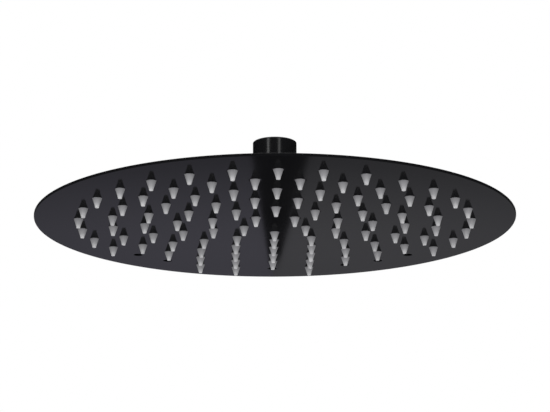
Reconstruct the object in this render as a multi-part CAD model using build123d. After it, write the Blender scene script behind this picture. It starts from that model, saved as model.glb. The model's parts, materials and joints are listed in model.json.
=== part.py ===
from build123d import *
import math
import os

# Rain shower head: a thin round head of two steel sheets, hung by a ball swivel from a threaded inlet.
# Millimetres and degrees. The origin is the centre of the inlet mouth and +Z points up to the supply pipe.

# Inlet fitting, which carries the socket of the swivel
THREAD_RADIUS = 10.48
THREAD_LENGTH = 10.0
CONNECTOR_WALL = 3.38
CONNECTOR_FLOOR = 3.0
SEAT_STEP = 1.08
SOCKET_WALL = 3.26
WATERWAY_RADIUS = 4.0

# Washer and filter on the seat at the foot of the thread
WASHER_THICKNESS = 2.2
WASHER_BORE = 5.6
WASHER_DROP = 0.3
SCREEN_THICKNESS = 0.5
SCREEN_HOLE = 1.6
SCREEN_WIRE = 0.6
SEAT_CLEARANCE = 0.1

# Ball of the swivel, and how far it leans to each side
BALL_RADIUS = 9.0
STEM_RADIUS = 5.8
TILT = 15.0
SPARE_LATITUDE = 1.5
BALL_CLEARANCE = 0.03
RUNNING_CLEARANCE = 0.05
SWING_CLEARANCE = 0.4

# Seal over the ball and friction ring under it: soft or hidden rings, so they have few sides
RING_SIDES = 24
SEAL_BORE = 7.6
FRICTION_RING_BORE = 8.15
FRICTION_RING_THICKNESS = 2.5

# Collar nut
COLLAR_SIDES = 6
COLLAR_WALL = 1.6
COLLAR_LIP = 2.2
COLLAR_GRIP = 7.7

# Back shell
HEAD_RADIUS = 150.0
SHELL_SHEET = 0.75
RIM_FLANGE = 19.0
STEP_RUN = 3.0
CHAMBER_HEIGHT = 3.0

# Boss of the ball stud, welded to the middle of the back shell
BOSS_HEIGHT = 11.2
BOSS_TOP_RADIUS = 8.5
BOSS_FOOT_RADIUS = 15.0

# Face plate
FACE_SHEET = 0.75

# Nozzles: round on the real head, with few sides here because there are so many of them
NOZZLE_SIDES = 6
NOZZLE_BASE_RADIUS = 3.0
NOZZLE_TIP_RADIUS = 1.2
NOZZLE_PROJECTION = 5.7
NOZZLE_TAIL = 1.0
NOZZLE_CLEARANCE = 0.02
NOZZLE_RINGS = 6
NOZZLES_ADDED_PER_RING = 5
STEP_TO_OUTER_RING = 5.5
FIRST_NOZZLE_ANGLE = 90.0
# Holes of the outer ring that have lost their nozzle, counted anticlockwise from +Y as seen from above
EMPTY_OUTER_HOLES = (0, 3, 4, 26, 27, 28)


# Worked out: the swivel, with heights counted from the centre of the ball
LEAN = math.radians(TILT)
BEARING_SPHERE = BALL_RADIUS + BALL_CLEARANCE
SEAL_FOOT = math.sqrt(BEARING_SPHERE**2 - SEAL_BORE**2)
BALL_END_LATITUDE = math.atan2(SEAL_FOOT, SEAL_BORE) + LEAN + math.radians(SPARE_LATITUDE)
SOCKET_CEILING = BALL_RADIUS * math.sin(BALL_END_LATITUDE + LEAN) + SWING_CLEARANCE
FRICTION_RING_TOP = -math.sqrt(BEARING_SPHERE**2 - FRICTION_RING_BORE**2)
FRICTION_RING_FOOT = FRICTION_RING_TOP - FRICTION_RING_THICKNESS
SOCKET_FOOT = FRICTION_RING_TOP + RUNNING_CLEARANCE
COLLAR_FOOT = FRICTION_RING_FOOT - RUNNING_CLEARANCE - COLLAR_LIP

# Worked out: radii
CONNECTOR_RADIUS = THREAD_RADIUS + CONNECTOR_WALL
SEAT_RADIUS = THREAD_RADIUS - SEAT_STEP
SOCKET_RADIUS = CONNECTOR_RADIUS - SOCKET_WALL
COLLAR_BORE = CONNECTOR_RADIUS + RUNNING_CLEARANCE
COLLAR_CORNER = (COLLAR_BORE + COLLAR_WALL) / math.cos(math.pi / COLLAR_SIDES)
COLLAR_OPENING = STEM_RADIUS / math.cos(LEAN) - COLLAR_FOOT * math.tan(LEAN) + SWING_CLEARANCE
COLLAR_SWING = COLLAR_CORNER * math.sin(LEAN) - COLLAR_FOOT * math.cos(LEAN)

# Worked out: heights in the part's own frame
SEAT_Z = -(THREAD_LENGTH + WASHER_DROP + WASHER_THICKNESS + SCREEN_THICKNESS)
CEILING_Z = SEAT_Z - CONNECTOR_FLOOR
BALL_Z = CEILING_Z - SOCKET_CEILING
BOSS_Z = BALL_Z - COLLAR_SWING - SWING_CLEARANCE
PANEL_Z = BOSS_Z - BOSS_HEIGHT
FLANGE_Z = PANEL_Z - SHELL_SHEET - CHAMBER_HEIGHT
FACE_Z = FLANGE_Z - FACE_SHEET

# Worked out: the nozzle pattern
OUTER_RING_RADIUS = HEAD_RADIUS - RIM_FLANGE - STEP_RUN - STEP_TO_OUTER_RING
RING_PITCH = OUTER_RING_RADIUS / NOZZLE_RINGS
NOZZLE_TAPER = (NOZZLE_BASE_RADIUS - NOZZLE_TIP_RADIUS) / NOZZLE_PROJECTION


def turned(*outline):
    """Solid of revolution about Z, from edges that close an outline in radius and height."""
    return revolve(make_face([Plane.XZ * edge for edge in outline]), Axis.Z)


def square_ring(outer, bore, foot, thickness):
    """Square-cut ring whose corners reach the outer radius and whose flats keep the bore clear."""
    section = RegularPolygon(outer, RING_SIDES) - RegularPolygon(bore, RING_SIDES, major_radius=False)
    return Pos(0, 0, foot) * extrude(section, thickness)


def connector():
    """Inlet fitting, turned in one piece: thread bore, washer seat, waterway and the socket for the ball."""
    socket_z = BALL_Z + SOCKET_FOOT
    outline = Polyline(
        (THREAD_RADIUS, 0),
        (THREAD_RADIUS, -THREAD_LENGTH),
        (SEAT_RADIUS, -THREAD_LENGTH),
        (SEAT_RADIUS, SEAT_Z),
        (WATERWAY_RADIUS, SEAT_Z),
        (WATERWAY_RADIUS, CEILING_Z),
        (SOCKET_RADIUS, CEILING_Z),
        (SOCKET_RADIUS, socket_z),
        (CONNECTOR_RADIUS, socket_z),
        (CONNECTOR_RADIUS, 0),
        close=True,
    )
    return turned(outline)


def inlet_washer():
    """Flat rubber washer on the filter, just below the last turn of the thread."""
    outer = SEAT_RADIUS - SEAT_CLEARANCE
    return square_ring(outer, WASHER_BORE, SEAT_Z + SCREEN_THICKNESS, WASHER_THICKNESS)


def filter_screen():
    """Thin disc on the washer seat, with square openings over the waterway."""
    pitch = SCREEN_HOLE + SCREEN_WIRE
    across = int((2 * WATERWAY_RADIUS + SCREEN_WIRE) // pitch)
    openings = GridLocations(pitch, pitch, across, across) * Rectangle(SCREEN_HOLE, SCREEN_HOLE)
    sheet = RegularPolygon(SEAT_RADIUS - SEAT_CLEARANCE, RING_SIDES) - openings
    return Pos(0, 0, SEAT_Z) * extrude(sheet, SCREEN_THICKNESS)


def ball_seal():
    """Rubber seat in the socket: it lies against the ceiling, and its lower inner edge bears on the ball."""
    outer = SOCKET_RADIUS - SEAT_CLEARANCE
    return square_ring(outer, SEAL_BORE, BALL_Z + SEAL_FOOT, SOCKET_CEILING - SEAL_FOOT)


def friction_ring():
    """Hard ring on the collar's lip: its upper inner edge bears on the ball from below."""
    outer = COLLAR_BORE - RUNNING_CLEARANCE
    return square_ring(outer, FRICTION_RING_BORE, BALL_Z + FRICTION_RING_FOOT, FRICTION_RING_THICKNESS)


def collar_nut():
    """Hexagon nut on the foot of the inlet fitting, with a lip that carries the friction ring."""
    height = SOCKET_FOOT + COLLAR_GRIP - COLLAR_FOOT
    nut = extrude(RegularPolygon(COLLAR_CORNER, COLLAR_SIDES), height)
    nut -= extrude(Circle(COLLAR_OPENING), height)
    nut -= Pos(0, 0, COLLAR_LIP) * extrude(Circle(COLLAR_BORE), height)
    return Pos(0, 0, BALL_Z + COLLAR_FOOT) * nut


def ball_stud():
    """Hollow ball on a stem with a conical boss, turned in one piece down to the panel of the back shell."""
    end_radius = BALL_RADIUS * math.cos(BALL_END_LATITUDE)
    end_z = BALL_Z + BALL_RADIUS * math.sin(BALL_END_LATITUDE)
    stem_z = BALL_Z - math.sqrt(BALL_RADIUS**2 - STEM_RADIUS**2)
    ball = ThreePointArc((end_radius, end_z), (BALL_RADIUS, BALL_Z), (STEM_RADIUS, stem_z))
    stem = Polyline(
        (STEM_RADIUS, stem_z),
        (STEM_RADIUS, BOSS_Z),
        (BOSS_TOP_RADIUS, BOSS_Z),
        (BOSS_FOOT_RADIUS, PANEL_Z),
        (WATERWAY_RADIUS, PANEL_Z),
        (WATERWAY_RADIUS, end_z),
        (end_radius, end_z),
    )
    return turned(ball, stem)


def pressed_sheet(line, thickness):
    """Sheet of even thickness whose upper side follows a line of (radius, height) points from the rim in."""
    lower_side = []
    for index, point in enumerate(line):
        normals = []
        for start, end in zip(line[max(index - 1, 0):index + 1], line[max(index, 1):index + 2]):
            along = (Vector(*end) - Vector(*start)).normalized()
            normals.append(Vector(-along.Y, along.X))
        bisector = (normals[0] + normals[-1]) / (1 + normals[0].dot(normals[-1]))
        inner = Vector(*point) + bisector * thickness
        lower_side.append((inner.X, inner.Y))
    return turned(Polyline(*line, *reversed(lower_side), close=True))


def back_shell():
    """Upper sheet, pressed into a flat rim, a step and a flat panel, with the ball stud welded to its middle."""
    rim_z = FLANGE_Z + SHELL_SHEET
    step_foot = HEAD_RADIUS - RIM_FLANGE
    upper_side = [
        (HEAD_RADIUS, rim_z),
        (step_foot, rim_z),
        (step_foot - STEP_RUN, PANEL_Z),
        (WATERWAY_RADIUS, PANEL_Z),
    ]
    return pressed_sheet(upper_side, SHELL_SHEET) + ball_stud()


def nozzle_blank(low, high, clearance):
    """Tapered peg of flat flanks on the Z axis, between two heights above the lower face, grown by a clearance."""
    ends = []
    for height in (low, high):
        radius = NOZZLE_BASE_RADIUS + NOZZLE_TAPER * height + clearance
        corner = Vector(radius, 0, FACE_Z + height)
        ends.append([corner.rotate(Axis.Z, 360 * side / NOZZLE_SIDES) for side in range(NOZZLE_SIDES)])
    tip, tail = ends
    flanks = [(tip[side - 1], tip[side], tail[side], tail[side - 1]) for side in range(NOZZLE_SIDES)]
    return Solid(Shell([Face(Wire.make_polygon(outline)) for outline in (tip, tail, *flanks)]))


def ring_places(ring):
    """Places of one ring's nozzles, anticlockwise from the far side."""
    return list(PolarLocations(ring * RING_PITCH, ring * NOZZLES_ADDED_PER_RING, FIRST_NOZZLE_ANGLE))


def face_plate():
    """Flat lower sheet with a tapered hole at every place of the pattern."""
    plate = Pos(0, 0, FACE_Z) * extrude(Circle(HEAD_RADIUS), FACE_SHEET)
    hole = nozzle_blank(-FACE_SHEET, 2 * FACE_SHEET, NOZZLE_CLEARANCE)
    places = [place for ring in range(1, NOZZLE_RINGS + 1) for place in ring_places(ring)]
    return plate - [place * hole for place in places]


def nozzle_ring(ring):
    """Soft nozzles of one ring, each wedged in its hole from inside; the outer ring has bare holes."""
    empty = EMPTY_OUTER_HOLES if ring == NOZZLE_RINGS else ()
    nozzle = nozzle_blank(-NOZZLE_PROJECTION, FACE_SHEET + NOZZLE_TAIL, 0)
    places = [place for index, place in enumerate(ring_places(ring)) if index not in empty]
    return Compound([(place * nozzle).solid() for place in places])


pieces = {
    "connector": connector(),
    "inlet_washer": inlet_washer(),
    "filter_screen": filter_screen(),
    "ball_seal": ball_seal(),
    "friction_ring": friction_ring(),
    "collar_nut": collar_nut(),
    "back_shell": back_shell(),
    "face_plate": face_plate(),
}
for number in range(1, NOZZLE_RINGS + 1):
    pieces[f"nozzles_ring_{number}"] = nozzle_ring(number)

os.makedirs("parts", exist_ok=True)
for name, piece in pieces.items():
    export_step(piece, f"parts/{name}.step")

print(f"lower face {FACE_Z:.2f}, ball centre {BALL_Z:.2f}, nozzle tips {FACE_Z - NOZZLE_PROJECTION:.2f}")
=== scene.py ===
"""Dressed model of a rain shower head: coated sheets, soft nozzles and a ball swivel under its inlet."""

import json
import logging
import math
from dataclasses import dataclass
from enum import Enum

import bmesh
import bpy
import numpy as np
from mathutils import Matrix, Vector


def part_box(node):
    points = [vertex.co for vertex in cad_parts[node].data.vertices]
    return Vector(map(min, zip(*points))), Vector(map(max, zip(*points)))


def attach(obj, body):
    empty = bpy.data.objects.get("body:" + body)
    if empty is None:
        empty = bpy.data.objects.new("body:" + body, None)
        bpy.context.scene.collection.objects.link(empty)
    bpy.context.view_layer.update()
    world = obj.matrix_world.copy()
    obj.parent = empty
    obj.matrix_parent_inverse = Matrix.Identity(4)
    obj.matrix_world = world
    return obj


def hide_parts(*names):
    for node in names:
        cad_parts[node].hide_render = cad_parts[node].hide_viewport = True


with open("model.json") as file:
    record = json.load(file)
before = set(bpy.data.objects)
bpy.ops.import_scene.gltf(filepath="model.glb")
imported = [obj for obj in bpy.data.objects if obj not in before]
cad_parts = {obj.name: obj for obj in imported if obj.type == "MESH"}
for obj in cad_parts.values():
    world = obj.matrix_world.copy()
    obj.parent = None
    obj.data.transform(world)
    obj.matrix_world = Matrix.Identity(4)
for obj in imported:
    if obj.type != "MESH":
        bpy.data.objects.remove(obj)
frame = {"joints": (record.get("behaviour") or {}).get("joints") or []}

log = logging.getLogger("shower_head")

MM = 0.001
# Points that lie closer than this, in metres, are joined
WELD = 2e-6
# Most values of Blender's noise lie in this range
NOISE_RANGE = (0.3, 0.7)
Pair = tuple[float, float]
Colour = tuple[float, float, float]
Place = tuple[float, float, float]
Corner = tuple[float, float, float]
Material = bpy.types.Material
Socket = bpy.types.NodeSocket


class Body(Enum):
    """Bodies of the swivel that a piece rides on."""

    INLET = "inlet"
    RING = "ring"
    HEAD = "head"


class Slot(Enum):
    """Material slots of the record."""

    COAT = "black_coat"
    SILICONE = "silicone"
    RUBBER = "black_rubber"
    PLASTIC = "hard_plastic"
    STEEL = "steel"


@dataclass(frozen=True)
class Patch:
    """Points and quads of a surface sampled on a grid."""

    points: np.ndarray
    quads: np.ndarray

    def copied(self, places: np.ndarray) -> "Patch":
        """Repeat the patch, shifted by each row of places, and join the copies into one patch."""
        points = (places[:, None, :] + self.points[None, :, :]).reshape(-1, 3)
        return Patch(points, repeated_quads(self.quads, len(self.points), len(places)))

    @staticmethod
    def joined(patches: list["Patch"]) -> "Patch":
        """Put several patches into one.

        Args:
            patches: The patches, in the order in which their points follow.

        Returns:
            The patch that holds them all.
        """
        starts = np.cumsum([0] + [len(patch.points) for patch in patches[:-1]])
        points = np.concatenate([patch.points for patch in patches])
        quads = np.concatenate([patch.quads + start for patch, start in zip(patches, starts)])
        return Patch(points, quads)


def grid_quads(rows: int, columns: int, wrap_rows: bool, wrap_columns: bool) -> np.ndarray:
    """Join the points of a grid, numbered row by row, into quads.

    Args:
        rows: Number of rows.
        columns: Number of points in a row.
        wrap_rows: Whether the last row joins the first.
        wrap_columns: Whether the last column joins the first.

    Returns:
        Point numbers, four to a quad.
    """
    row = np.arange(rows if wrap_rows else rows - 1)[:, None]
    column = np.arange(columns if wrap_columns else columns - 1)[None, :]
    next_row = (row + 1) % rows
    next_column = (column + 1) % columns
    corners = (
        row * columns + column,
        row * columns + next_column,
        next_row * columns + next_column,
        next_row * columns + column,
    )
    return np.stack(corners, axis=-1).reshape(-1, 4)


def repeated_quads(quads: np.ndarray, points: int, copies: int) -> np.ndarray:
    """Number the quads of several copies of a surface, whose points follow one another."""
    first = np.arange(copies)[:, None, None] * points
    return (quads[None] + first).reshape(-1, 4)


def unit(vectors: np.ndarray) -> np.ndarray:
    """Scale rows of vectors to length one."""
    return vectors / np.linalg.norm(vectors, axis=-1, keepdims=True)


def rounded_loop(corners: np.ndarray, steps: int = 6, guard: float = 0.3) -> np.ndarray:
    """Turn the corners of a closed outline into arcs.

    Each arc is a circular blend of the two tangent points about its centre, and a guard point on each
    straight side keeps the shading of the sides flat.

    Args:
        corners: Rows of radius, height and fillet radius; a fillet of zero keeps the corner as it is.
        steps: Points on each arc.
        guard: Distance of the guard points from the arc, in fillet radii.

    Returns:
        The outline as rows of radius and height.
    """
    places, fillets = corners[:, :2], corners[:, 2]
    to_last = unit(np.roll(places, 1, axis=0) - places)
    to_next = unit(np.roll(places, -1, axis=0) - places)
    half = 0.5 * np.arccos(np.clip((to_last * to_next).sum(axis=1), -1.0, 1.0))
    centre = places + unit(to_last + to_next) * (fillets / np.sin(half))[:, None]
    reach = (fillets / np.tan(half))[:, None]
    start = places + to_last * reach
    end = places + to_next * reach
    sweep = (np.pi - 2.0 * half)[:, None]
    share = np.linspace(0.0, 1.0, steps)[None, :]
    from_start = (np.sin((1.0 - share) * sweep) / np.sin(sweep))[..., None]
    from_end = (np.sin(share * sweep) / np.sin(sweep))[..., None]
    arcs = centre[:, None] + from_start * (start - centre)[:, None] + from_end * (end - centre)[:, None]
    before = start + to_last * guard * fillets[:, None]
    after = end + to_next * guard * fillets[:, None]
    loop = np.concatenate([before[:, None], arcs, after[:, None]], axis=1).reshape(-1, 2)
    distinct = np.linalg.norm(loop - np.roll(loop, 1, axis=0), axis=1) > 1e-8
    return loop[distinct]


def subdivided(loop: np.ndarray, longest: np.ndarray | float) -> np.ndarray:
    """Cut the sides of a closed outline into equal lengths.

    Args:
        loop: Rows of radius and height.
        longest: Longest length allowed, one for all sides or one for each.

    Returns:
        The outline with the added points.
    """
    along = np.roll(loop, -1, axis=0) - loop
    counts = np.maximum(1, np.ceil(np.linalg.norm(along, axis=1) / longest)).astype(int)
    side = np.repeat(np.arange(len(loop)), counts)
    within = (np.arange(counts.sum()) - np.repeat(np.cumsum(counts) - counts, counts)) / counts[side]
    return loop[side] + within[:, None] * along[side]


def swept_round(radii: np.ndarray, heights: np.ndarray, columns: int, closed: bool = True) -> Patch:
    """Carry an outline round the Z axis.

    The point at row i and angle a is (r cos a, r sin a, z), where r and z come from the outline; r may vary
    with a.

    Args:
        radii: Radius of each row, or of each row and column.
        heights: Height of each row.
        columns: Number of angles.
        closed: Whether the outline is a closed loop, anticlockwise in radius and height.

    Returns:
        The surface, with its normals to the right of the outline.
    """
    angle = np.arange(columns) * 2.0 * np.pi / columns
    radius = np.broadcast_to(radii if radii.ndim == 2 else radii[:, None], (len(heights), columns))
    height = np.broadcast_to(heights[:, None], radius.shape)
    points = np.stack([radius * np.cos(angle), radius * np.sin(angle), height], axis=-1).reshape(-1, 3)
    return Patch(points, grid_quads(len(heights), columns, closed, True))


def turned(corners: list[Corner], columns: int, longest: float) -> Patch:
    """Turn an outline, given by radius, height and fillet of its corners, about the Z axis."""
    loop = subdivided(rounded_loop(np.array(corners)), longest)
    return swept_round(loop[:, 0], loop[:, 1], columns)


def ring_corners(bore: float, outer: float, low: float, top: float, fillet: float) -> list[Corner]:
    """List radius, height and fillet of the corners of a ring of square section, anticlockwise."""
    return [(bore, low, fillet), (outer, low, fillet), (outer, top, fillet), (bore, top, fillet)]


def span(node: str) -> tuple[float, float, float]:
    """Measure the largest radius along X or Y, the lowest and the highest point of a CAD node."""
    low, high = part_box(node)
    return max(high.x, high.y), low.z, high.z


def new_object(name: str, patch: Patch, material: Material) -> bpy.types.Object:
    """Make an object from a patch and link it to the scene.

    Args:
        name: Name of the object and of its mesh.
        patch: Its surface.
        material: Its finish.

    Returns:
        The new object, at the origin.
    """
    mesh = bpy.data.meshes.new(name)
    mesh.from_pydata(patch.points.tolist(), [], patch.quads.tolist())
    mesh.materials.append(material)
    made = bpy.data.objects.new(name, mesh)
    bpy.context.scene.collection.objects.link(made)
    return made


def add_piece(name: str, patch: Patch, material: Material, body: Body,
              nodes: tuple[str, ...], crease: float = 35.0) -> bpy.types.Object:
    """Make an object from a patch, with its seams closed, in place of the CAD nodes that it stands for.

    Args:
        name: Name of the piece.
        patch: Its surface, in the part's own frame.
        material: Its finish.
        body: The body that it rides on.
        nodes: The CAD nodes that it replaces.
        crease: Angle in degrees above which an edge stays sharp.

    Returns:
        The new object.
    """
    piece = new_object(name, patch, material)
    mesh = piece.data
    work = bmesh.new()
    work.from_mesh(mesh)
    bmesh.ops.remove_doubles(work, verts=work.verts, dist=WELD)
    work.to_mesh(mesh)
    work.free()
    mesh.polygons.foreach_set("use_smooth", np.ones(len(mesh.polygons), bool))
    mesh.set_sharp_from_angle(angle=math.radians(crease))
    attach(piece, body.value)
    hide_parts(*nodes)
    log.info("%s: %d faces", name, len(mesh.polygons))
    return piece


def add_prop(name: str, patch: Patch, material: Material) -> bpy.types.Object:
    """Add a thing of the studio that is no part of the shower head.

    Args:
        name: Name of the thing.
        patch: Its surface.
        material: Its finish.

    Returns:
        The new object.
    """
    prop = new_object(name, patch, material)
    return prop


class Graph:
    """Node tree of a material with one Principled shader."""

    def __init__(self, name: str) -> None:
        """Start a material.

        Args:
            name: Name of the material.
        """
        self.material = bpy.data.materials.new(name)
        self.material.use_nodes = True
        self.tree = self.material.node_tree
        self.shader = next(node for node in self.tree.nodes if node.type == "BSDF_PRINCIPLED")
        self.object_place = self.node("ShaderNodeTexCoord").outputs["Object"]

    def node(self, kind: str, **inputs: float) -> bpy.types.Node:
        """Add a node.

        Args:
            kind: Type of the node.
            inputs: Values of its sockets, by name with underscores for spaces.

        Returns:
            The node.
        """
        made = self.tree.nodes.new(kind)
        for name, value in inputs.items():
            made.inputs[name.replace("_", " ")].default_value = value
        return made

    def link(self, source: Socket, target: Socket) -> None:
        """Join two sockets."""
        self.tree.links.new(source, target)

    def noise(self, cell: float, detail: float = 2.0) -> Socket:
        """Add noise over the object's own coordinates.

        Args:
            cell: Size of its cells in metres.
            detail: Number of finer layers.

        Returns:
            The noise value.
        """
        made = self.node("ShaderNodeTexNoise", Scale=1.0 / cell, Detail=detail)
        self.link(self.object_place, made.inputs["Vector"])
        return made.outputs["Fac"]

    def ramp(self, value: Socket, stops: list[tuple[float, Colour]]) -> Socket:
        """Turn a value into a colour.

        Args:
            value: Value from 0 to 1.
            stops: Positions and their colours.

        Returns:
            The colour.
        """
        made = self.node("ShaderNodeValToRGB")
        elements = made.color_ramp.elements
        for index, (position, colour) in enumerate(stops):
            element = elements[index] if index < len(elements) else elements.new(position)
            element.position = position
            element.color = (*colour, 1.0)
        self.link(value, made.inputs["Fac"])
        return made.outputs["Color"]

    def scaled(self, value: Socket, source: Pair, target: Pair) -> Socket:
        """Map one range of values onto another.

        Args:
            value: The value.
            source: Range that it comes from.
            target: Range that it goes to.

        Returns:
            The mapped value.
        """
        made = self.node("ShaderNodeMapRange", From_Min=source[0], From_Max=source[1],
                         To_Min=target[0], To_Max=target[1])
        self.link(value, made.inputs["Value"])
        return made.outputs["Result"]

    def vector(self, operation: str, first: Socket, second: Socket | Place | None = None) -> bpy.types.Node:
        """Add an operation on vectors.

        Args:
            operation: Name of the operation.
            first: The vector that it works on.
            second: Another vector, linked or fixed, if it needs one.

        Returns:
            The node.
        """
        made = self.node("ShaderNodeVectorMath")
        made.operation = operation
        self.link(first, made.inputs[0])
        if isinstance(second, Socket):
            self.link(second, made.inputs[1])
        elif second is not None:
            made.inputs[1].default_value = second
        return made

    def axis_distance(self) -> Socket:
        """Measure the distance from the upright axis in metres."""
        flat = self.vector("MULTIPLY", self.object_place, (1.0, 1.0, 0.0))
        return self.vector("LENGTH", flat.outputs["Vector"]).outputs["Value"]

    def spread(self, centre: Place, reach: Place) -> Socket:
        """Measure how far a point lies from a centre, squared, with each axis in units of its own reach.

        Args:
            centre: The centre.
            reach: Distance along each axis that counts as one.

        Returns:
            The squared distance.
        """
        shifted = self.vector("SUBTRACT", self.object_place, centre).outputs["Vector"]
        divided = self.vector("DIVIDE", shifted, reach).outputs["Vector"]
        return self.vector("DOT_PRODUCT", divided, divided).outputs["Value"]

    def product(self, first: Socket, second: Socket) -> Socket:
        """Multiply two values.

        Args:
            first: One value.
            second: The other.

        Returns:
            The product.
        """
        made = self.node("ShaderNodeMath")
        made.operation = "MULTIPLY"
        self.link(first, made.inputs[0])
        self.link(second, made.inputs[1])
        return made.outputs["Value"]

    def bump(self, value: Socket, depth: float, strength: float) -> None:
        """Roughen the surface.

        Args:
            value: Height from 0 to 1.
            depth: Height of 1 in metres.
            strength: Share of the effect.
        """
        made = self.node("ShaderNodeBump", Strength=strength, Distance=depth)
        self.link(value, made.inputs["Height"])
        self.link(made.outputs["Normal"], self.shader.inputs["Normal"])

    def drive(self, name: str, value: Socket) -> None:
        """Link a value or colour to a socket of the shader."""
        self.link(value, self.shader.inputs[name])

    def fix(self, name: str, value: float | tuple[float, ...]) -> None:
        """Set a socket of the shader."""
        self.shader.inputs[name].default_value = value

    def dull(self) -> None:
        """Take all gloss from the surface."""
        self.fix("Roughness", 1.0)
        self.fix("Specular IOR Level", 0.0)


@dataclass(frozen=True)
class Coat:
    """Black powder coat: fine orange peel, slightly uneven colour and sheen."""

    name: str
    colour: Colour
    ior: float
    roughness: float
    peel: float = 1.1 * MM
    peel_depth: float = 0.01 * MM
    peel_strength: float = 0.25
    cloud_size: float = 45 * MM
    unevenness: float = 0.06

    def material(self) -> Material:
        """Build the finish.

        Returns:
            The material.
        """
        graph = Graph(self.name)
        cloud = graph.noise(self.cloud_size)
        graph.drive("Base Color", graph.ramp(cloud, self.stops()))
        self.dress(graph, cloud)
        return graph.material

    def stops(self) -> list[tuple[float, Colour]]:
        """Spread the coat's colour over the range of the noise.

        Returns:
            The darkest and the lightest colour, each with its noise value.
        """
        darker = tuple((1.0 - self.unevenness) * part for part in self.colour)
        lighter = tuple((1.0 + self.unevenness) * part for part in self.colour)
        return [(NOISE_RANGE[0], darker), (NOISE_RANGE[1], lighter)]

    def dress(self, graph: Graph, cloud: Socket) -> None:
        """Give a material the coat's sheen and orange peel.

        Args:
            graph: Node tree of the material.
            cloud: Noise that makes the sheen uneven.
        """
        sheen = (self.roughness * (1.0 - self.unevenness), self.roughness * (1.0 + self.unevenness))
        graph.drive("Roughness", graph.scaled(cloud, NOISE_RANGE, sheen))
        graph.bump(graph.noise(self.peel), self.peel_depth, self.peel_strength)
        graph.fix("IOR", self.ior)


@dataclass(frozen=True)
class ShadedEdgeCoat:
    """Black powder coat with painted shade: its colour turns darker at the outermost wall, standing in for
    the shade there.
    """

    base: Coat
    edge_radius: float
    edge_shade_colour: Colour
    fade: float = 0.3 * MM

    def material(self) -> Material:
        """Build the finish, whose colour turns into the painted shade of the edge over a short run outwards.

        Returns:
            The material.
        """
        graph = Graph(self.base.name)
        cloud = graph.noise(self.base.cloud_size)
        run = (self.edge_radius - 1.5 * self.fade, self.edge_radius - 0.5 * self.fade)
        inward = graph.product(cloud, graph.scaled(graph.axis_distance(), run, (1.0, 0.0)))
        # Painted shade: the outermost wall takes the darker edge colour in place of the shade that falls
        # there
        graph.drive("Base Color", graph.ramp(inward, [(0.0, self.edge_shade_colour), *self.base.stops()]))
        self.base.dress(graph, cloud)
        return graph.material


@dataclass(frozen=True)
class Silicone:
    """Soft light grey rubber of the nozzles, with painted shade that darkens it from the tip up to the root
    at the face.
    """

    name: str
    root_z: float
    tip_z: float
    shaded_root_colour: Colour = (0.235, 0.233, 0.245)
    lit_tip_colour: Colour = (0.71, 0.708, 0.72)
    tip_share_halfway: float = 0.3
    batch: float = 9 * MM
    batch_shades: Pair = (0.82, 1.12)
    roughness: Pair = (0.45, 0.55)
    grain: float = 0.6 * MM
    grain_depth: float = 0.01 * MM
    grain_strength: float = 0.3
    ior: float = 1.41
    specular: float = 0.3

    def material(self) -> Material:
        """Build the finish, with painted shade along the nozzle, darkest at the root by the face, and a
        little different from one nozzle to the next.

        Returns:
            The material.
        """
        graph = Graph(self.name)
        parts = graph.node("ShaderNodeSeparateXYZ")
        graph.link(graph.object_place, parts.inputs["Vector"])
        along = graph.scaled(parts.outputs["Z"], (self.root_z, self.tip_z), (0.0, 1.0))
        shade = graph.scaled(graph.noise(self.batch), NOISE_RANGE, self.batch_shades)
        share = self.tip_share_halfway
        halfway = tuple((1.0 - share) * root + share * tip
                        for root, tip in zip(self.shaded_root_colour, self.lit_tip_colour))
        # Painted shade and light: dark at the root by the black face, pale at the tip, where more light falls
        stops = [(0.0, self.shaded_root_colour), (0.5, halfway), (1.0, self.lit_tip_colour)]
        graph.drive("Base Color", graph.ramp(graph.product(along, shade), stops))
        grain = graph.noise(self.grain)
        graph.drive("Roughness", graph.scaled(grain, NOISE_RANGE, self.roughness))
        graph.bump(grain, self.grain_depth, self.grain_strength)
        graph.fix("IOR", self.ior)
        graph.fix("Specular IOR Level", self.specular)
        return graph.material


@dataclass(frozen=True)
class Moulded:
    """Rubber or plastic of the hidden rings, with a faint mottle."""

    name: str
    colour: Colour
    roughness: float
    roughness_spread: float = 0.08
    mottle: float = 3 * MM
    mottle_detail: float = 4.0
    paling: float = 1.25
    palest_at: float = 0.75
    grain: float = 0.4 * MM
    grain_depth: float = 0.01 * MM
    grain_strength: float = 0.4

    def material(self) -> Material:
        """Build the finish.

        Returns:
            The material.
        """
        graph = Graph(self.name)
        cloud = graph.noise(self.mottle, self.mottle_detail)
        paler = tuple(self.paling * part for part in self.colour)
        graph.drive("Base Color", graph.ramp(cloud, [(NOISE_RANGE[0], self.colour), (self.palest_at, paler)]))
        rough = (self.roughness - self.roughness_spread, self.roughness + self.roughness_spread)
        graph.drive("Roughness", graph.scaled(cloud, NOISE_RANGE, rough))
        graph.bump(graph.noise(self.grain), self.grain_depth, self.grain_strength)
        return graph.material


@dataclass(frozen=True)
class Wire:
    """Drawn stainless steel of the filter."""

    name: str
    colour: Colour = (0.55, 0.54, 0.52)
    dulling: float = 0.8
    roughness: Pair = (0.25, 0.45)
    streak: float = 0.8 * MM
    streak_detail: float = 3.0

    def material(self) -> Material:
        """Build the finish.

        Returns:
            The material.
        """
        graph = Graph(self.name)
        cloud = graph.noise(self.streak, self.streak_detail)
        duller = tuple(self.dulling * part for part in self.colour)
        stops = [(NOISE_RANGE[0], duller), (NOISE_RANGE[1], self.colour)]
        graph.drive("Base Color", graph.ramp(cloud, stops))
        graph.drive("Roughness", graph.scaled(cloud, NOISE_RANGE, self.roughness))
        graph.fix("Metallic", 1.0)
        return graph.material


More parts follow.
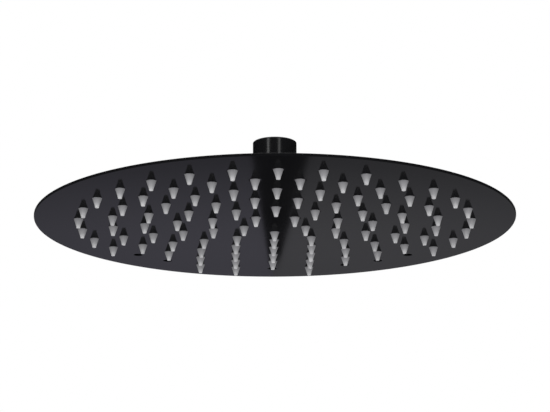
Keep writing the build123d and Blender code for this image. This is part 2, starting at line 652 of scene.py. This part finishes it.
@dataclass
class Inlet:
    """Threaded inlet fitting with its washer, filter, ball seal and collar nut."""

    coat: Material
    nut_coat: Material
    rubber: Material
    steel: Material
    thread_radius: float = 10.48 * MM
    thread_length: float = 10 * MM
    thread_pitch: float = 1.814 * MM
    thread_depth: float = 1.16 * MM
    thread_root: float = 0.28
    thread_flank: float = 0.44
    thread_step: float = 0.12 * MM
    lead_in_start: float = 0.36 * MM
    lead_in: float = 1.2 * MM
    run_out_start: float = 0.2 * MM
    run_out: float = 1 * MM
    seat_radius: float = 9.4 * MM
    seat_floor: float = 3 * MM
    waterway_radius: float = 4 * MM
    socket_radius: float = 10.6 * MM
    washer_bore: float = 5.6 * MM
    washer_edge: float = 0.35 * MM
    seal_bore: float = 7.6 * MM
    seal_edge: float = 0.3 * MM
    collar_opening: float = 8.719 * MM
    collar_lip: float = 2.2 * MM
    collar_clearance: float = 0.05 * MM
    collar_end_share: float = 0.98
    chamfer_angle: float = 30.0
    hexagon_power: int = 70
    screen_rim: float = 1.6 * MM
    screen_edge: float = 0.12 * MM
    wire_radius: float = 0.11 * MM
    wire_pitch: float = 0.8 * MM
    wire_seat: float = 0.4 * MM
    wire_points: int = 97
    wire_sides: int = 6
    body_columns: int = 120
    body_cut: float = 2.5 * MM
    nut_columns: int = 180
    nut_cut: float = 0.35 * MM
    ring_columns: int = 96
    screen_columns: int = 72
    ring_cut: float = 1 * MM

    def build(self) -> None:
        """Build the pieces that stay with the supply pipe."""
        self.connector()
        self.washer()
        self.screen()
        self.seal()
        self.collar()

    def connector(self) -> bpy.types.Object:
        """Build the fitting with its thread.

        The bore's radius at height z and angle a is the root radius less the tooth depth times a trapezoid
        wave of z / pitch - a / turn, faded out at both ends of the thread.

        Returns:
            The piece.
        """
        outer, low, top = span("connector")
        _, seat, _ = span("filter_screen")
        ceiling = seat - self.seat_floor
        thread_end = top - self.thread_length
        corners = np.array([
            (self.socket_radius, low, 0.25 * MM),
            (outer, low, 0.25 * MM),
            (outer, top, 0.6 * MM),
            (self.thread_radius, top, 0.35 * MM),
            (self.thread_radius, thread_end, 0.1 * MM),
            (self.seat_radius, thread_end, 0.2 * MM),
            (self.seat_radius, seat, 0.1 * MM),
            (self.waterway_radius, seat, 0.4 * MM),
            (self.waterway_radius, ceiling, 0.4 * MM),
            (self.socket_radius, ceiling, 0.2 * MM),
        ])
        loop = rounded_loop(corners)
        loop = subdivided(loop, np.where(self.in_thread(loop), self.thread_step, self.body_cut))
        columns = self.body_columns
        turn = np.arange(columns)[None, :] / columns
        height = loop[:, 1][:, None]
        wave = np.abs(2.0 * ((height / self.thread_pitch - turn) % 1.0) - 1.0)
        tooth = np.clip((wave - self.thread_root) / self.thread_flank, 0.0, 1.0)
        lead_in = np.clip((top - height - self.lead_in_start) / self.lead_in, 0.0, 1.0)
        run_out = np.clip((height - thread_end - self.run_out_start) / self.run_out, 0.0, 1.0)
        cut = tooth * lead_in * run_out * self.in_thread(loop)[:, None]
        patch = swept_round(loop[:, 0][:, None] - self.thread_depth * cut, loop[:, 1], columns)
        return add_piece("connector_body", patch, self.coat, Body.INLET, ("connector",))

    def in_thread(self, loop: np.ndarray) -> np.ndarray:
        """Tell which points of an outline lie on the threaded bore."""
        return np.abs(loop[:, 0] - self.thread_radius) < 0.001 * MM

    def ring(self, name: str, node: str, bore: float, fillet: float) -> bpy.types.Object:
        """Build a soft ring of rounded square section.

        Args:
            name: Name of the piece.
            node: The CAD node that it replaces.
            bore: Radius of its hole.
            fillet: Radius of its edges.

        Returns:
            The piece.
        """
        outer, low, top = span(node)
        corners = ring_corners(bore, outer, low, top, fillet)
        patch = turned(corners, self.ring_columns, self.ring_cut)
        return add_piece(name, patch, self.rubber, Body.INLET, (node,))

    def washer(self) -> bpy.types.Object:
        """Build the flat washer under the thread."""
        return self.ring("washer", "inlet_washer", self.washer_bore, self.washer_edge)

    def seal(self) -> bpy.types.Object:
        """Build the seat over the ball."""
        return self.ring("seal", "ball_seal", self.seal_bore, self.seal_edge)

    def screen(self) -> bpy.types.Object:
        """Build the filter: a flat rim and two crossing sets of wavy wires.

        A wire runs along x at a fixed y; its height is plus or minus the wire's radius times the cosine of
        pi x / pitch, so that it passes over and under the wires that cross it. A circle is carried along it.

        Returns:
            The piece.
        """
        outer, low, top = span("filter_screen")
        middle = 0.5 * (low + top)
        inner = outer - self.screen_rim
        corners = ring_corners(inner, outer, low, top, self.screen_edge)
        rim = turned(corners, self.screen_columns, self.ring_cut)
        count = int(inner / self.wire_pitch)
        index = np.arange(-count, count + 1)[:, None, None]
        across = index * self.wire_pitch
        reach = np.sqrt((inner + self.wire_seat) ** 2 - across**2)
        share = np.linspace(-1.0, 1.0, self.wire_points)[None, :, None]
        turn = np.linspace(0.0, 2.0 * np.pi, self.wire_sides, endpoint=False)[None, None, :]
        along = share * reach
        sign = np.where(index % 2 == 0, 1.0, -1.0)
        lift = sign * self.wire_radius * np.cos(np.pi * along / self.wire_pitch)
        radius = self.wire_radius * np.where(np.abs(share) < 1.0, 1.0, 0.0)
        x, y, z = np.broadcast_arrays(
            along, across + radius * np.sin(turn), middle + lift + radius * np.cos(turn)
        )
        one_wire = grid_quads(self.wire_points, self.wire_sides, False, True)[:, ::-1]
        quads = repeated_quads(one_wire, self.wire_points * self.wire_sides, len(index))
        lengthwise = Patch(np.stack([x, y, z], axis=-1).reshape(-1, 3), quads)
        crossing = Patch(np.stack([y, x, 2.0 * middle - z], axis=-1).reshape(-1, 3), quads)
        patch = Patch.joined([rim, lengthwise, crossing])
        nodes = ("filter_screen",)
        return add_piece("filter_mesh", patch, self.steel, Body.INLET, nodes, crease=60.0)

    def collar(self) -> bpy.types.Object:
        """Build the hexagon nut.

        The radius at an angle is the smaller of the outline's radius, which carries the bore and the chamfer
        at both ends, and a rounded hexagon: the radius of its flats over the root of a high power sum of the
        cosines to them.

        Returns:
            The piece.
        """
        outer, low, top = span("collar_nut")
        flat = outer * math.cos(math.pi / 6.0)
        bore = span("connector")[0] + self.collar_clearance
        rise = (outer - flat) * math.tan(math.radians(self.chamfer_angle))
        lip = low + self.collar_lip
        end = self.collar_end_share * flat
        corners = np.array([
            (self.collar_opening, low, 0.2 * MM),
            (end, low, 0.2 * MM),
            (outer, low + rise, 0.3 * MM),
            (outer, top - rise, 0.3 * MM),
            (end, top, 0.2 * MM),
            (bore, top, 0.2 * MM),
            (bore, lip, 0.1 * MM),
            (self.collar_opening, lip, 0.2 * MM),
        ])
        loop = subdivided(rounded_loop(corners), self.nut_cut)
        columns = self.nut_columns
        angle = np.arange(columns)[None, :] * 2.0 * np.pi / columns
        normals = np.radians(30.0 + 60.0 * np.arange(6))[:, None, None]
        closeness = np.maximum(np.cos(angle[None] - normals), 0.0)
        hexagon = flat / (closeness**self.hexagon_power).sum(axis=0) ** (1.0 / self.hexagon_power)
        radii = np.minimum(loop[:, 0][:, None], hexagon)
        patch = swept_round(radii, loop[:, 1], columns)
        return add_piece("collar", patch, self.nut_coat, Body.INLET, ("collar_nut",), crease=25.0)


@dataclass
class SwivelRing:
    """Hard ring under the ball."""

    plastic: Material
    bore: float = 8.15 * MM
    fillet: float = 0.25 * MM
    columns: int = 96
    cut: float = 1 * MM

    def build(self) -> None:
        """Build the ring."""
        outer, low, top = span("friction_ring")
        patch = turned(ring_corners(self.bore, outer, low, top, self.fillet), self.columns, self.cut)
        add_piece("swivel_ring", patch, self.plastic, Body.RING, ("friction_ring",))


@dataclass
class Head:
    """Round head: pressed back with its ball stud, perforated face and the rings of nozzles."""

    face_coat: Material
    back_coat: Material
    silicone: Material
    rim_flange: float = 19 * MM
    step_run: float = 3 * MM
    edge: float = 0.3 * MM
    rim_round: float = 0.6 * MM
    waterway_radius: float = 4 * MM
    ball_radius: float = 9 * MM
    stem_radius: float = 5.8 * MM
    boss_height: float = 11.2 * MM
    boss_top_radius: float = 8.5 * MM
    boss_foot_radius: float = 15 * MM
    panel_drop: float = 3 * MM
    nozzle_rings: int = 6
    nozzles_added: int = 5
    step_to_outer_ring: float = 5.5 * MM
    nozzle_base: float = 2.92 * MM
    nozzle_tip: float = 1.12 * MM
    nozzle_flare: float = 1.2
    nozzle_clearance: float = 0.02 * MM
    jet_radius: float = 0.6 * MM
    jet_funnel: float = 2.5
    hole_lip: float = 0.12 * MM
    arc_points: int = 600
    side_points: int = 6
    ball_points: int = 30
    back_columns: int = 240
    back_cut: float = 8 * MM
    flank_points: int = 12
    flank_start: float = 0.12
    nozzle_columns: int = 24
    empty_outer_holes: tuple[int, ...] = (0, 3, 4, 26, 27, 28)

    def __post_init__(self) -> None:
        """Take the heights and radii that the frame gives."""
        self.radius, self.face_z, self.face_top = span("face_plate")
        self.radius = round(self.radius, 5)
        self.sheet = self.face_top - self.face_z
        _, tip_z, tail_z = span("nozzles_ring_1")
        self.nozzle_projection = self.face_z - tip_z
        self.nozzle_tail = tail_z - self.face_z
        self.rim_z = self.face_top + self.sheet
        self.panel_z = self.rim_z + self.panel_drop
        outer_ring = self.radius - self.rim_flange - self.step_run - self.step_to_outer_ring
        self.pitch = outer_ring / self.nozzle_rings
        self.taper = (self.nozzle_base - self.nozzle_tip) / self.nozzle_projection

    def build(self) -> None:
        """Build the pieces that tilt and turn together."""
        self.back()
        self.face()
        for ring in range(1, self.nozzle_rings + 1):
            self.nozzles(ring)

    def back(self) -> bpy.types.Object:
        """Build the pressed sheet with the ball stud, an outline with rounded bends carried round the axis.

        Returns:
            The piece.
        """
        ball_z = next(joint["pos_m"][2] for joint in frame["joints"] if joint["name"] == "tilt")
        _, _, end_z = span("back_shell")
        foot = self.radius - self.rim_flange
        head = foot - self.step_run
        inset = self.sheet * math.tan(0.5 * math.atan2(self.panel_drop, self.step_run))
        boss_z = self.panel_z + self.boss_height
        latitude = np.linspace(-math.acos(self.stem_radius / self.ball_radius),
                               math.asin((end_z - ball_z) / self.ball_radius), self.ball_points)
        ball = np.stack([
            self.ball_radius * np.cos(latitude),
            ball_z + self.ball_radius * np.sin(latitude),
            np.zeros_like(latitude),
        ], axis=-1)
        sheet = np.array([
            (self.waterway_radius, self.panel_z - self.sheet, 0.3 * MM),
            (head - inset, self.panel_z - self.sheet, 1.2 * MM),
            (foot - inset, self.face_top, 2.2 * MM),
            (self.radius, self.face_top, self.edge),
            (self.radius, self.rim_z, self.edge),
            (foot, self.rim_z, 1.2 * MM),
            (head, self.panel_z, 2.2 * MM),
            (self.boss_foot_radius, self.panel_z, 1.4 * MM),
            (self.boss_top_radius, boss_z, 0.7 * MM),
            (self.stem_radius, boss_z, 0.5 * MM),
        ])
        end = np.array([(self.waterway_radius, end_z, 0.4 * MM)])
        loop = subdivided(rounded_loop(np.concatenate([sheet, ball, end])), self.back_cut)
        patch = swept_round(loop[:, 0], loop[:, 1], self.back_columns)
        return add_piece("back", patch, self.back_coat, Body.HEAD, ("back_shell",))

    def places(self, ring: int) -> np.ndarray:
        """List the angles of a ring's holes, anticlockwise from +Y; rings count from the middle."""
        count = ring * self.nozzles_added
        return 0.5 * np.pi + np.arange(count) * 2.0 * np.pi / count

    def face(self) -> bpy.types.Object:
        """Build the perforated sheet.

        The sheet is split into cells, one round each hole. Within a cell a point goes round the hole with one
        parameter, and with the other it runs from the cell's border straight to the hole's rim, over a small
        round, up the tapered wall and back to the border on the upper side. A disc in the middle and a flange
        outside complete it.

        Returns:
            The piece.
        """
        low, top = self.face_z, self.face_top
        rim = self.nozzle_base + self.nozzle_clearance
        lip = self.hole_lip
        rise = np.radians(np.array([0.0, 30.0, 60.0, 90.0]))
        upper = rim + self.taper * (top - low)
        spread = np.array([1.0, 0.35, 0.08, 0.0, 0.0, 0.0, 0.0, 0.0, 1.0])
        circle = np.concatenate([np.full(3, rim + lip), rim + lip * (1.0 - np.sin(rise)), [upper, upper]])
        height = np.concatenate([np.full(3, low), low + lip * (1.0 - np.cos(rise)), [top, top]])
        patches = [self.cells(ring, spread, circle, height) for ring in range(1, self.nozzle_rings + 1)]
        middle = np.array([0.0, 0.3, 0.7, 1.0]) * 0.5 * self.pitch
        patches.append(swept_round(middle, np.full(4, low), self.arc_points, False))
        patches.append(swept_round(middle[::-1], np.full(4, top), self.arc_points, False))
        inner = (self.nozzle_rings + 0.5) * self.pitch
        corners = np.array([
            (inner, low, 0.0),
            (self.radius, low, self.rim_round),
            (self.radius, top, 0.1 * MM),
            (inner, top, 0.0),
        ])
        flange = rounded_loop(corners)
        first = int(np.argmin(flange[:, 0] + flange[:, 1]))
        flange = np.roll(flange, -first, axis=0)
        patches.append(swept_round(flange[:, 0], flange[:, 1], self.arc_points, False))
        patch = Patch.joined(patches)
        return add_piece("face", patch, self.face_coat, Body.HEAD, ("face_plate",))

    def cells(self, ring: int, spread: np.ndarray, circle: np.ndarray, height: np.ndarray) -> Patch:
        """Build the cells of one ring.

        Args:
            ring: Number of the ring.
            spread: For each row, its share of the way from the hole's circle to the cell's border.
            circle: For each row, the radius of the hole's circle.
            height: For each row, its height.

        Returns:
            The cells as one patch.
        """
        angles = self.places(ring)
        count = len(angles)
        arc = self.arc_points // count
        side = self.side_points
        half = np.pi / count
        inner, outer = (ring - 0.5) * self.pitch, (ring + 0.5) * self.pitch
        sweep = np.linspace(-half, half, arc + 1)
        climb = np.linspace(inner, outer, side + 1)
        radius = np.concatenate([np.full(arc, inner), climb[:-1], np.full(arc, outer), climb[:0:-1]])
        angle = np.concatenate([sweep[:-1], np.full(side, half), sweep[:0:-1], np.full(side, -half)])
        x, y = radius * np.cos(angle), radius * np.sin(angle)
        centre = ring * self.pitch
        away = np.arctan2(y, x - centre)
        rim_x = centre + circle[:, None] * np.cos(away)
        rim_y = circle[:, None] * np.sin(away)
        local_x = rim_x + spread[:, None] * (x - rim_x)
        local_y = rim_y + spread[:, None] * (y - rim_y)
        turn = angles[:, None, None]
        points = np.stack([
            local_x * np.cos(turn) - local_y * np.sin(turn),
            local_x * np.sin(turn) + local_y * np.cos(turn),
            np.broadcast_to(height[:, None], (count, *local_x.shape)),
        ], axis=-1)
        one_cell = grid_quads(len(spread), len(radius), False, True)
        quads = repeated_quads(one_cell, len(spread) * len(radius), count)
        return Patch(points.reshape(-1, 3), quads)

    def nozzles(self, ring: int) -> bpy.types.Object:
        """Build the nozzles of one ring that are still there.

        A nozzle is an outline carried round its own axis: its flank's radius grows from the tip to the sheet
        with the flare's power of the height, a little above one, and its jet opens inwards.

        Args:
            ring: Number of the ring.

        Returns:
            The piece.
        """
        tip_z = self.face_z - self.nozzle_projection
        tail_z = self.face_z + self.nozzle_tail
        share = np.linspace(self.flank_start, 1.0, self.flank_points)
        flank = np.stack([
            self.nozzle_tip + (self.nozzle_base - self.nozzle_tip) * share**self.nozzle_flare,
            tip_z + self.nozzle_projection * share,
            np.zeros_like(share),
        ], axis=-1)
        start = np.array([(self.jet_radius, tip_z, 0.12 * MM), (self.nozzle_tip, tip_z, 0.35 * MM)])
        tail = self.nozzle_base + self.taper * self.nozzle_tail
        end = np.array([(tail, tail_z, 0.2 * MM), (self.jet_funnel * self.jet_radius, tail_z, 0.2 * MM)])
        loop = rounded_loop(np.concatenate([start, flank, end]), steps=5)
        one = swept_round(loop[:, 0], loop[:, 1], self.nozzle_columns)
        angles = self.places(ring)
        if ring == self.nozzle_rings:
            angles = np.delete(angles, list(self.empty_outer_holes))
        radius = ring * self.pitch
        places = np.stack([radius * np.cos(angles), radius * np.sin(angles), np.zeros_like(angles)], axis=-1)
        return add_piece(f"nozzles_{ring}", one.copied(places), self.silicone, Body.HEAD,
                         (f"nozzles_ring_{ring}",), crease=50.0)


@dataclass(frozen=True)
class Lamp:
    """Soft white rectangular lamp that faces the inlet's mouth."""

    name: str
    place: Place
    width: float
    height: float
    radiance: float
    mirrored: bool = True

    def build(self) -> None:
        """Add the lamp, out of the camera's sight, and out of reflections too unless it is mirrored."""
        data = bpy.data.lights.new(self.name, "AREA")
        data.shape = "RECTANGLE"
        data.size = self.width
        data.size_y = self.height
        data.energy = self.radiance * math.pi * self.width * self.height
        lamp = bpy.data.objects.new(self.name, data)
        bpy.context.scene.collection.objects.link(lamp)
        facing = (-Vector(self.place)).to_track_quat("-Z", "Y").to_matrix().to_4x4()
        lamp.matrix_world = Matrix.Translation(self.place) @ facing
        lamp.visible_camera = False
        lamp.visible_glossy = self.mirrored


@dataclass(frozen=True)
class Panel:
    """Upright glowing panel behind the head, which the face mirrors; it is brightest at one spot."""

    name: str
    tint: Colour
    spot: Place
    outer_x: float
    inner_edge: tuple[Pair, ...]
    reach: Place = (0.34, 1.0, 0.058)
    spot_radiance: float = 2.42
    edge_radiance: float = 1.64

    def build(self) -> None:
        """Add the panel, out of the camera's sight.

        A row at each corner of the inner edge, given by x and z, runs level to the outer side. The glow falls
        off with the square of the distance from the spot, each axis measured in its own reach.
        """
        inner = np.array(self.inner_edge)
        share = np.linspace(0.0, 1.0, 5)[None, :]
        across = inner[:, :1] + share * (self.outer_x - inner[:, :1])
        up = np.broadcast_to(inner[:, 1:], across.shape)
        points = np.stack([across, np.full_like(across, self.spot[1]), up], axis=-1).reshape(-1, 3)
        graph = Graph(self.name)
        distance = graph.spread(self.spot, self.reach)
        glow = graph.scaled(distance, (0.0, 1.0), (self.spot_radiance, self.edge_radiance))
        graph.drive("Emission Strength", glow)
        graph.fix("Emission Color", (*self.tint, 1.0))
        graph.fix("Base Color", (0.0, 0.0, 0.0, 1.0))
        graph.dull()
        panel = add_prop(self.name, Patch(points, grid_quads(*across.shape, False, False)), graph.material)
        panel.visible_camera = False
        panel.visible_shadow = False


@dataclass
class Studio:
    """White studio with a pale floor, soft lamps, glowing panels and the camera below the head."""

    aim_z: float
    ambient: float = 0.6
    floor_z: float = -2.0
    floor_radius: float = 14.0
    floor_colour: Colour = (0.82, 0.82, 0.82)
    floor_paling: float = 1.03
    floor_cloud: float = 1.2
    felt_colours: tuple[Colour, Colour] = ((0.004, 0.004, 0.004), (0.007, 0.007, 0.007))
    felt_fuzz: float = 2 * MM
    band_radius: float = 2.6
    band_low: float = 0.12
    band_top: float = 1.25
    sheet_half_width: float = 0.55
    sheet_y: float = 0.64
    sheet_low: float = -0.6
    sheet_top: float = -0.06
    panel_y: float = 0.6
    panel_half_width: float = 0.39
    panel_tints: tuple[Colour, Colour] = ((0.98, 0.95, 1.16), (1.0, 0.99, 1.07))
    panel_top: float = -0.09
    panel_foot: float = -0.4
    gap_x: float = 0.0076
    gap_apex: float = -0.166
    gap_bend: float = -0.174
    gap_bend_x: Pair = (0.0026, 0.0149)
    gap_foot_x: Pair = (-0.0325, 0.0775)
    spot_drop: float = 0.165
    camera_distance: float = 1.0583
    camera_elevation: float = -14.44
    camera_azimuth: float = -0.9
    camera_roll: float = -0.207
    camera_lens: float = 110.36
    camera_rise: float = 0.0336

    def build(self) -> None:
        """Set up world, floor, felt, panels, lamps and camera."""
        self.world()
        self.floor()
        self.flags()
        self.panels()
        self.lamps()
        self.camera()
        bpy.context.scene.view_settings.view_transform = "Standard"

    def world(self) -> None:
        """Show white to the camera and to reflections, and give a softer light to everything else."""
        world = bpy.data.worlds.new("studio")
        world.use_nodes = True
        nodes = world.node_tree.nodes
        link = world.node_tree.links.new
        nodes.clear()
        path = nodes.new("ShaderNodeLightPath")
        seen = nodes.new("ShaderNodeMath")
        seen.operation = "ADD"
        through = nodes.new("ShaderNodeMath")
        through.operation = "ADD"
        through.use_clamp = True
        soft = nodes.new("ShaderNodeBackground")
        soft.inputs["Color"].default_value = (1.0, 1.0, 1.0, 1.0)
        soft.inputs["Strength"].default_value = self.ambient
        white = nodes.new("ShaderNodeBackground")
        white.inputs["Color"].default_value = (1.0, 1.0, 1.0, 1.0)
        white.inputs["Strength"].default_value = 1.0
        mix = nodes.new("ShaderNodeMixShader")
        out = nodes.new("ShaderNodeOutputWorld")
        link(path.outputs["Is Camera Ray"], seen.inputs[0])
        link(path.outputs["Is Glossy Ray"], seen.inputs[1])
        link(seen.outputs["Value"], through.inputs[0])
        link(path.outputs["Is Transmission Ray"], through.inputs[1])
        link(through.outputs["Value"], mix.inputs["Fac"])
        link(soft.outputs["Background"], mix.inputs[1])
        link(white.outputs["Background"], mix.inputs[2])
        link(mix.outputs["Shader"], out.inputs["Surface"])
        bpy.context.scene.world = world

    def floor(self) -> None:
        """Lay a round pale floor far below the head."""
        radii = np.array([1.0, 0.6, 0.25, 0.0]) * self.floor_radius
        patch = swept_round(radii, np.full_like(radii, self.floor_z), 96, False)
        paler = tuple(self.floor_paling * part for part in self.floor_colour)
        graph = Graph("pale_floor")
        stops = [(NOISE_RANGE[0], self.floor_colour), (NOISE_RANGE[1], paler)]
        graph.drive("Base Color", graph.ramp(graph.noise(self.floor_cloud), stops))
        graph.dull()
        add_prop("floor", patch, graph.material)

    def flags(self) -> None:
        """Hang dark felt where the black coat would mirror the white room.

        A flat sheet stands behind the panels, and an upright band runs round the object at a constant
        distance from its axis. They show in reflections alone.
        """
        half = self.sheet_half_width
        across, up = np.meshgrid(np.linspace(-half, half, 9), np.linspace(self.sheet_low, self.sheet_top, 5))
        points = np.stack([across, np.full_like(across, self.sheet_y), up], axis=-1).reshape(-1, 3)
        sheet = Patch(points, grid_quads(*across.shape, False, False))
        heights = np.linspace(self.band_low, self.band_top, 6)
        band = swept_round(np.full_like(heights, self.band_radius), heights, 96, False)
        graph = Graph("felt")
        fuzz = graph.noise(self.felt_fuzz, 4.0)
        graph.drive("Base Color", graph.ramp(fuzz, list(zip(NOISE_RANGE, self.felt_colours))))
        graph.dull()
        for name, patch in (("felt_sheet", sheet), ("felt_band", band)):
            flag = add_prop(name, patch, graph.material)
            flag.visible_camera = False
            flag.visible_diffuse = False
            flag.visible_shadow = False

    def panels(self) -> None:
        """Stand two panels beyond the head, with a gap between them that opens downwards."""
        spot = (self.gap_x, self.panel_y, self.aim_z - self.spot_drop)
        closed = ((self.gap_x, self.panel_top), (self.gap_x, self.gap_apex))
        left, right = (
            (*closed, (bend_x, self.gap_bend), (foot_x, self.panel_foot))
            for bend_x, foot_x in zip(self.gap_bend_x, self.gap_foot_x)
        )
        left_tint, right_tint = self.panel_tints
        Panel("panel_left", left_tint, spot, -self.panel_half_width, left).build()
        Panel("panel_right", right_tint, spot, self.panel_half_width, right).build()

    def lamps(self) -> None:
        """Hang a lamp overhead, and place two low keys and two higher strips in front."""
        lamps = (
            Lamp("overhead", (0.0, 0.3, 1.5), width=1.2, height=1.2, radiance=3.5),
            Lamp("key_left", (-0.5, -1.94, -0.5), width=0.4, height=0.7, radiance=11.0, mirrored=False),
            Lamp("key_right", (0.4, -1.96, -0.5), width=0.4, height=0.7, radiance=8.0, mirrored=False),
            Lamp("strip_left", (-1.15, -1.64, 0.55), width=0.36, height=0.7, radiance=4.4),
            Lamp("strip_right", (0.78, -1.84, 0.55), width=0.36, height=0.7, radiance=3.2),
        )
        for lamp in lamps:
            lamp.build()

    def camera(self) -> None:
        """Aim the camera at the middle of the lower face from the photo's angle."""
        data = bpy.data.cameras.new("camera")
        data.sensor_width = 36.0
        data.lens = self.camera_lens
        data.shift_y = self.camera_rise
        camera = bpy.data.objects.new("camera", data)
        bpy.context.scene.collection.objects.link(camera)
        turn, tilt = math.radians(self.camera_azimuth), math.radians(self.camera_elevation)
        back = Vector((math.sin(turn) * math.cos(tilt), -math.cos(turn) * math.cos(tilt), math.sin(tilt)))
        facing = (-back).to_track_quat("-Z", "Y").to_matrix().to_4x4()
        place = Matrix.Translation(Vector((0.0, 0.0, self.aim_z)) + back * self.camera_distance)
        camera.matrix_world = place @ facing @ Matrix.Rotation(math.radians(self.camera_roll), 4, "Z")
        bpy.context.scene.camera = camera


def main() -> None:
    """Build the pieces from the inlet down and set up the studio."""
    logging.basicConfig(level=logging.INFO, format="%(message)s")
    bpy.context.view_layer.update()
    black = (0.016, 0.016, 0.0172)
    # Painted shade: the outermost walls of the inlet fitting and of the head's rim are coloured darker than
    # the rest of the coat
    edge_shade_black = (0.0068, 0.0068, 0.0076)
    face_black = (0.0072, 0.0072, 0.008)
    connector_radius, _, _ = span("connector")
    head_radius, face_z, _ = span("face_plate")
    glossy = Coat("inlet_coat", black, ior=1.35, roughness=0.18)
    satin = Coat("back_coat", black, ior=1.09, roughness=0.28)
    inlet_coat = ShadedEdgeCoat(glossy, connector_radius, edge_shade_black).material()
    back_coat = ShadedEdgeCoat(satin, head_radius, edge_shade_black).material()
    face_coat = Coat("face_coat", face_black, ior=1.0225, roughness=0.08).material()
    rubber = Moulded("washer_rubber", colour=(0.016, 0.016, 0.016), roughness=0.62).material()
    plastic = Moulded("ring_plastic", colour=(0.55, 0.54, 0.50), roughness=0.38).material()
    steel = Wire("wire_steel").material()
    _, tip_z, _ = span("nozzles_ring_1")
    silicone = Silicone("nozzle_silicone", face_z, tip_z).material()
    Inlet(inlet_coat, back_coat, rubber, steel).build()
    SwivelRing(plastic).build()
    Head(face_coat, back_coat, silicone).build()
    Studio(face_z).build()


if __name__ == "__main__":
    main()
